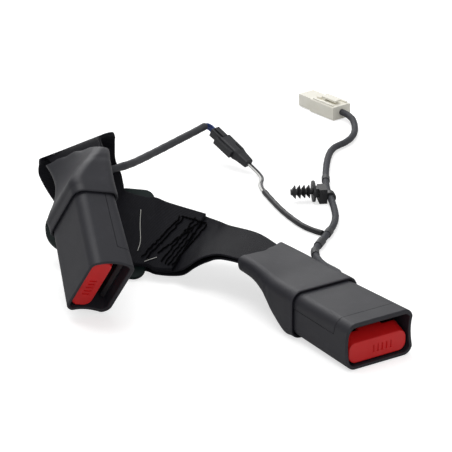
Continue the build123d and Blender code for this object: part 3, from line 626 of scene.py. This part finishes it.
# Fine pitted grain with a slow drift, for moulded plastic and rubber.
def mouldGrainGroup():
    group, enter, leave = newGroup("mouldGrain", [
        ("Vector", "NodeSocketVector", None), ("Scale", "NodeSocketFloat", 1400.0),
        ("Drift", "NodeSocketFloat", 60.0)],
        [("Height", "NodeSocketFloat"), ("Shade", "NodeSocketFloat")])
    fine = group.nodes.new("ShaderNodeTexVoronoi")
    slow = group.nodes.new("ShaderNodeTexNoise")
    slow.inputs["Detail"].default_value = 4
    group.links.new(enter.outputs["Vector"], fine.inputs["Vector"])
    group.links.new(enter.outputs["Scale"], fine.inputs["Scale"])
    group.links.new(enter.outputs["Vector"], slow.inputs["Vector"])
    group.links.new(enter.outputs["Drift"], slow.inputs["Scale"])
    group.links.new(fine.outputs["Distance"], leave.inputs["Height"])
    group.links.new(slow.outputs["Fac"], leave.inputs["Shade"])
    return group


# Sparse pale scuffs and dust from one noise, cut off above a level and sharpened.
def scuffGroup():
    group, enter, leave = newGroup("scuffs", [
        ("Vector", "NodeSocketVector", None), ("Scale", "NodeSocketFloat", 160.0),
        ("Amount", "NodeSocketFloat", 0.3)],
        [("Mask", "NodeSocketFloat")])
    fine = group.nodes.new("ShaderNodeTexNoise")
    fine.inputs["Detail"].default_value = 6
    fine.inputs["Roughness"].default_value = 0.65
    group.links.new(enter.outputs["Vector"], fine.inputs["Vector"])
    group.links.new(enter.outputs["Scale"], fine.inputs["Scale"])
    above = mathNode(group, "SUBTRACT", fine.outputs["Fac"], 0.56)
    sharp = mathNode(group, "MULTIPLY", above, 7.0)
    clamped = mathNode(group, "MINIMUM", mathNode(group, "MAXIMUM", sharp, 0.0), 1.0)
    group.links.new(mathNode(group, "MULTIPLY", clamped, enter.outputs["Amount"]), leave.inputs["Mask"])
    return group


# Warp floats in columns, each column set off from the last, on a millimetre map; Height is the floats' bump, and Shade
# is painted shade, dark at the edges and ends of each float and light on its crown.
def twillAndPaintedShadeGroup():
    group, enter, leave = newGroup("beltTwillWithPaintedShade", [
        ("Across", "NodeSocketFloat", 0.0), ("Along", "NodeSocketFloat", 0.0),
        ("Yarn", "NodeSocketFloat", 0.62), ("Float", "NodeSocketFloat", 1.5), ("Shift", "NodeSocketFloat", 0.25)],
        [("Height", "NodeSocketFloat"), ("Shade", "NodeSocketFloat")])
    column = mathNode(group, "DIVIDE", enter.outputs["Across"], enter.outputs["Yarn"])
    whole = mathNode(group, "FLOOR", column)
    part = mathNode(group, "FRACT", column)
    along = mathNode(group, "DIVIDE", enter.outputs["Along"], enter.outputs["Float"])
    setOff = mathNode(group, "MULTIPLY", whole, enter.outputs["Shift"])
    phase = mathNode(group, "FRACT", mathNode(group, "ADD", along, setOff))
    humpU = mathNode(group, "SINE", mathNode(group, "MULTIPLY", part, math.pi))
    humpV = mathNode(group, "SINE", mathNode(group, "MULTIPLY", phase, math.pi))
    height = mathNode(group, "POWER", mathNode(group, "MULTIPLY", humpU, humpV), 0.5)
    group.links.new(height, leave.inputs["Height"])
    # The Shade output is painted shade between the floats and painted light on their crowns.
    group.links.new(mathNode(group, "MULTIPLY", humpV, humpU), leave.inputs["Shade"])
    return group


groups = {"grain": mouldGrainGroup(), "scuffs": scuffGroup(), "twillWithPaintedShade": twillAndPaintedShadeGroup()}


def newMaterial(name):
    material = bpy.data.materials.new(name)
    material.use_nodes = True
    tree = material.node_tree
    shader = tree.nodes["Principled BSDF"]
    return material, tree, shader


def mixColours(tree, factor, first, second):
    node = tree.nodes.new("ShaderNodeMix")
    node.data_type = "RGBA"
    for socket, value in ((node.inputs[0], factor), (node.inputs[6], first), (node.inputs[7], second)):
        if hasattr(value, "links"):
            tree.links.new(value, socket)
        elif isinstance(value, (tuple, list)):
            socket.default_value = (*value, 1.0)
        else:
            socket.default_value = value
    return node.outputs[2]


def addBump(tree, shader, height, strength, distance):
    bump = tree.nodes.new("ShaderNodeBump")
    bump.inputs["Strength"].default_value = strength
    bump.inputs["Distance"].default_value = distance
    tree.links.new(height, bump.inputs["Height"])
    tree.links.new(bump.outputs["Normal"], shader.inputs["Normal"])


# Grained moulding: slow drift of colour, pale scuffs, pitted bump.
def mouldedPlastic(name, colour, pale, roughness, grain=1400.0, depth=0.00003, scuff=0.25, coat=0.0, metallic=0.0):
    material, tree, shader = newMaterial(name)
    where = tree.nodes.new("ShaderNodeTexCoord").outputs["Object"]
    texture = tree.nodes.new("ShaderNodeGroup")
    texture.node_tree = groups["grain"]
    texture.inputs["Scale"].default_value = grain
    marks = tree.nodes.new("ShaderNodeGroup")
    marks.node_tree = groups["scuffs"]
    marks.inputs["Amount"].default_value = scuff
    tree.links.new(where, texture.inputs["Vector"])
    tree.links.new(where, marks.inputs["Vector"])
    drift = mathNode(tree, "MULTIPLY", texture.outputs["Shade"], 0.6)
    darker = tuple(c * 0.72 for c in colour)
    base = mixColours(tree, drift, darker, tuple(min(c * 1.25, 1) for c in colour))
    tree.links.new(mixColours(tree, marks.outputs["Mask"], base, pale), shader.inputs["Base Color"])
    rough = mathNode(tree, "ADD", mathNode(tree, "MULTIPLY", texture.outputs["Shade"], 0.12), roughness - 0.06)
    tree.links.new(rough, shader.inputs["Roughness"])
    shader.inputs["Metallic"].default_value = metallic
    shader.inputs["Coat Weight"].default_value = coat
    shader.inputs["Coat Roughness"].default_value = 0.25
    addBump(tree, shader, texture.outputs["Height"], 0.35, depth)
    return material


# Woven twill on the strap's own map, with a little dust.
# Its colour carries painted shade in the grooves between floats and painted light on their crowns.
def beltWebbing(name, colour, pale):
    material, tree, shader = newMaterial(name)
    mapNode = tree.nodes.new("ShaderNodeUVMap")
    mapNode.uv_map = "surface"
    split = tree.nodes.new("ShaderNodeSeparateXYZ")
    tree.links.new(mapNode.outputs["UV"], split.inputs[0])
    twillWithPaintedShade = tree.nodes.new("ShaderNodeGroup")
    twillWithPaintedShade.node_tree = groups["twillWithPaintedShade"]
    tree.links.new(split.outputs["X"], twillWithPaintedShade.inputs["Across"])
    tree.links.new(split.outputs["Y"], twillWithPaintedShade.inputs["Along"])
    where = tree.nodes.new("ShaderNodeTexCoord").outputs["Object"]
    marks = tree.nodes.new("ShaderNodeGroup")
    marks.node_tree = groups["scuffs"]
    marks.inputs["Amount"].default_value = 0.35
    tree.links.new(where, marks.inputs["Vector"])
    # Painted shade and light: the colour drops to 0.35 of the webbing's in the grooves between floats and rises to 1.5
    # of it on their crowns.
    base = mixColours(tree, twillWithPaintedShade.outputs["Shade"], tuple(c * 0.35 for c in colour), tuple(c * 1.5 for c in colour))
    tree.links.new(mixColours(tree, marks.outputs["Mask"], base, pale), shader.inputs["Base Color"])
    shader.inputs["Roughness"].default_value = 0.7
    shader.inputs["Specular IOR Level"].default_value = 0.16
    addBump(tree, shader, twillWithPaintedShade.outputs["Height"], 0.8, 0.00012)
    return material


# Drawn steel: fine streaks in roughness and bump, dark specks.
def wornSteel(name, colour, dark, roughness, streak=700.0):
    material, tree, shader = newMaterial(name)
    where = tree.nodes.new("ShaderNodeTexCoord").outputs["Object"]
    stretch = tree.nodes.new("ShaderNodeMapping")
    stretch.inputs["Scale"].default_value = (0.15, 1.0, 1.0)
    tree.links.new(where, stretch.inputs["Vector"])
    fine = tree.nodes.new("ShaderNodeTexNoise")
    fine.inputs["Scale"].default_value = streak
    fine.inputs["Detail"].default_value = 5
    tree.links.new(stretch.outputs["Vector"], fine.inputs["Vector"])
    base = mixColours(tree, fine.outputs["Fac"], dark, colour)
    tree.links.new(base, shader.inputs["Base Color"])
    shader.inputs["Metallic"].default_value = 0.9
    streaks = mathNode(tree, "MULTIPLY", fine.outputs["Fac"], 0.2)
    tree.links.new(mathNode(tree, "ADD", streaks, roughness - 0.1), shader.inputs["Roughness"])
    addBump(tree, shader, fine.outputs["Fac"], 0.2, 0.00002)
    return material


# Cloth-like tape: fine threads across the tube and a line at each turn's edge, on the cord's map.
def tapedSleeve(name, colour, pale, roughness, pitch=8.0):
    material, tree, shader = newMaterial(name)
    mapNode = tree.nodes.new("ShaderNodeUVMap")
    mapNode.uv_map = "surface"
    split = tree.nodes.new("ShaderNodeSeparateXYZ")
    tree.links.new(mapNode.outputs["UV"], split.inputs[0])
    wound = mathNode(tree, "DIVIDE", split.outputs["Y"], pitch)
    turn = mathNode(tree, "FRACT", mathNode(tree, "ADD", wound, split.outputs["X"]))
    edge = mathNode(tree, "GREATER_THAN", turn, 0.95)
    thread = mathNode(tree, "SINE", mathNode(tree, "MULTIPLY", split.outputs["Y"], 14.0))
    where = tree.nodes.new("ShaderNodeTexCoord").outputs["Object"]
    noise = tree.nodes.new("ShaderNodeTexNoise")
    noise.inputs["Scale"].default_value = 420
    noise.inputs["Detail"].default_value = 4
    tree.links.new(where, noise.inputs["Vector"])
    base = mixColours(tree, noise.outputs["Fac"], colour, pale)
    base = mixColours(tree, mathNode(tree, "MULTIPLY", edge, 0.5), base, tuple(c * 0.35 for c in colour))
    tree.links.new(base, shader.inputs["Base Color"])
    shader.inputs["Roughness"].default_value = roughness
    height = mathNode(tree, "ADD", mathNode(tree, "MULTIPLY", thread, 0.25), mathNode(tree, "MULTIPLY", turn, 1.0))
    addBump(tree, shader, mathNode(tree, "ADD", height, noise.outputs["Fac"]), 0.5, 0.00012)
    return material


finishes = {
    "black_shell": mouldedPlastic("grainedBlackShell", (0.0125, 0.0125, 0.0185), (0.045, 0.045, 0.058), 0.56, scuff=0.15),
    "black_inner": mouldedPlastic("plainBlackMoulding",
        (0.014, 0.014, 0.017), (0.06, 0.06, 0.065), 0.48, grain=2200, scuff=0.15),
    "soft_boot": mouldedPlastic("softBlackBoot",
        (0.0125, 0.0125, 0.0185), (0.045, 0.045, 0.058), 0.55, grain=1700, scuff=0.15),
    "red_button": mouldedPlastic("redButton",
        (0.66, 0.006, 0.007), (0.70, 0.04, 0.035), 0.42, grain=2400, depth=0.000015, scuff=0.1),
    "clip_black": mouldedPlastic("blackClip", (0.012, 0.012, 0.014), (0.10, 0.10, 0.10), 0.45, scuff=0.15),
    "grey_connector": mouldedPlastic("darkConnector", (0.016, 0.0165, 0.020), (0.06, 0.06, 0.07), 0.48, scuff=0.2),
    "cream_connector": mouldedPlastic("creamConnector",
        (0.97, 0.93, 0.78), (0.80, 0.73, 0.58), 0.45, scuff=0.35, depth=0.00001),
    "wire_white": mouldedPlastic("paleWire", (0.72, 0.72, 0.70), (0.5, 0.5, 0.5), 0.4, scuff=0.2, depth=0.000005),
    "wire_dark": mouldedPlastic("darkWire", (0.03, 0.03, 0.035), (0.1, 0.1, 0.1), 0.4, scuff=0.2, depth=0.000005),
    "wire_blue": mouldedPlastic("blueWire", (0.02, 0.05, 0.20), (0.4, 0.5, 0.7), 0.4, scuff=0.2, depth=0.000005),
    "plate_steel": mouldedPlastic("coatedAnchorPlate",
        (0.003, 0.011, 0.0105), (0.012, 0.030, 0.028), 0.62, grain=900, scuff=0.3),
    "frame_steel": wornSteel("stampedSteel", (0.50, 0.50, 0.51), (0.28, 0.28, 0.29), 0.38),
    "pin_steel": wornSteel("turnedSteel", (0.58, 0.58, 0.59), (0.36, 0.36, 0.37), 0.30),
    "spring_steel": wornSteel("springSteel", (0.40, 0.40, 0.41), (0.20, 0.20, 0.21), 0.36),
    "terminal_brass": wornSteel("tinnedTerminal", (0.72, 0.60, 0.34), (0.45, 0.36, 0.20), 0.30),
    "webbing": beltWebbing("blackBeltWebbing", (0.0052, 0.0052, 0.0085), (0.014, 0.014, 0.019)),
    "cord_grey": tapedSleeve("greyTapedSleeve", (0.030, 0.031, 0.037), (0.062, 0.064, 0.073), 0.62),
    "tape_black": mouldedPlastic("wrappedTape",
        (0.035, 0.036, 0.040), (0.12, 0.12, 0.12), 0.55, grain=3000, scuff=0.3),
}
finishes["cordSmooth"] = mouldedPlastic(
    "smoothGreySleeve", (0.022, 0.023, 0.029), (0.05, 0.05, 0.06), 0.55, grain=2600, depth=0.00002, scuff=0.25)
finishes["threadBlack"] = mouldedPlastic(
    "blackThread", (0.0012, 0.0012, 0.0016), (0.002, 0.002, 0.002), 0.9, grain=5000, scuff=0.1)
finishes["threadPale"] = mouldedPlastic(
    "paleThread", (0.62, 0.62, 0.58), (0.4, 0.4, 0.4), 0.5, grain=5000, scuff=0.1)
finishes["cordDark"] = mouldedPlastic(
    "smoothBlackSleeve", (0.0075, 0.0078, 0.0105), (0.03, 0.03, 0.035), 0.5, grain=2600, depth=0.00002, scuff=0.2)

for key, shine in (("threadBlack", 0.05), ("plate_steel", 0.2), ("cord_grey", 0.25), ("cordSmooth", 0.3)):
    finishes[key].node_tree.nodes["Principled BSDF"].inputs["Specular IOR Level"].default_value = shine


def dress(obj, finish):
    obj.data.materials.clear()
    obj.data.materials.append(finishes[finish])


for nodeName, obj in nodes.items():
    finish = nodeSlot[nodeName]
    if obj.data.materials:
        for slotIndex in range(len(obj.material_slots)):
            obj.material_slots[slotIndex].material = finishes[finish]
    else:
        obj.data.materials.append(finishes[finish])
for side in boots:
    dress(boots[side], "soft_boot")
for name in beltPieces:
    dress(beltPieces[name][0], "webbing")
dress(stitches, "threadBlack")
for thread in threads:
    dress(thread, "threadPale")
cordLooks = {
    "trunk": ("cord_grey", "cord_grey"), "branch": ("cordDark", "cord_grey"), "left": ("cordSmooth", "cord_grey"),
    "leadLight": ("wire_white", "wire_white"), "leadDark": ("wire_dark", "wire_dark"),
}
for key, (finish, slotName) in cordLooks.items():
    dress(cords[key], finish)
print("finishes mixed")


studio = {"floorSize": 8.0, "floorDrop": 0.0002, "floorGlow": 0.62, "key": 12.0, "fill": 3.8, "rim": 6.5, "world": 0.5}


def addLamp(name, place, target, size, power):
    data = bpy.data.lights.new(name, "AREA")
    data.shape = "SQUARE"
    data.size = size
    data.energy = power
    obj = bpy.data.objects.new(name, data)
    obj.location = place
    obj.rotation_euler = (Vector(target) - Vector(place)).to_track_quat("-Z", "Y").to_euler()
    bpy.context.scene.collection.objects.link(obj)


def addFloor(values):
    half = values["floorSize"] / 2
    mesh = bpy.data.meshes.new("studioFloor")
    corners = [(x * half, y * half, -values["floorDrop"]) for x, y in ((-1, -1), (1, -1), (1, 1), (-1, 1))]
    mesh.from_pydata(corners, [], [(0, 1, 2, 3)])
    floor = bpy.data.objects.new("studioFloor", mesh)
    bpy.context.scene.collection.objects.link(floor)
    material = bpy.data.materials.new("studioFloor")
    material.use_nodes = True
    tree = material.node_tree
    shader = tree.nodes["Principled BSDF"]
    shader.inputs["Base Color"].default_value = (0.6, 0.6, 0.6, 1)
    shader.inputs["Roughness"].default_value = 1.0
    shader.inputs["Specular IOR Level"].default_value = 0.0
    glow = tree.nodes.new("ShaderNodeEmission")
    path = tree.nodes.new("ShaderNodeLightPath")
    tree.links.new(mathNode(tree, "MULTIPLY", path.outputs["Is Camera Ray"], values["floorGlow"]), glow.inputs["Strength"])
    both = tree.nodes.new("ShaderNodeAddShader")
    tree.links.new(shader.outputs[0], both.inputs[0])
    tree.links.new(glow.outputs[0], both.inputs[1])
    tree.links.new(both.outputs[0], tree.nodes["Material Output"].inputs["Surface"])
    mesh.materials.append(material)


def addWorld(values):
    world = bpy.data.worlds.new("studioWorld")
    bpy.context.scene.world = world
    world.use_nodes = True
    tree = world.node_tree
    back = tree.nodes["Background"]
    back.inputs["Color"].default_value = (1, 1, 1, 1)
    path = tree.nodes.new("ShaderNodeLightPath")
    seen = mathNode(tree, "MAXIMUM", path.outputs["Is Camera Ray"], path.outputs["Is Transmission Ray"])
    tree.links.new(mathNode(tree, "MAXIMUM", seen, values["world"]), back.inputs["Strength"])


addFloor(studio)
addWorld(studio)
centre = (0.0, 0.0, 0.03)
addLamp("keySoftbox", (-0.25, 0.25, 1.5), centre, 1.1, studio["key"])
addLamp("fillSoftbox", (0.4, -1.5, 0.8), centre, 0.9, studio["fill"])
addLamp("rimSoftbox", (-0.3, 1.4, 0.8), centre, 0.8, studio["rim"])
bpy.context.scene.view_settings.view_transform = "Standard"
print("studio lit")
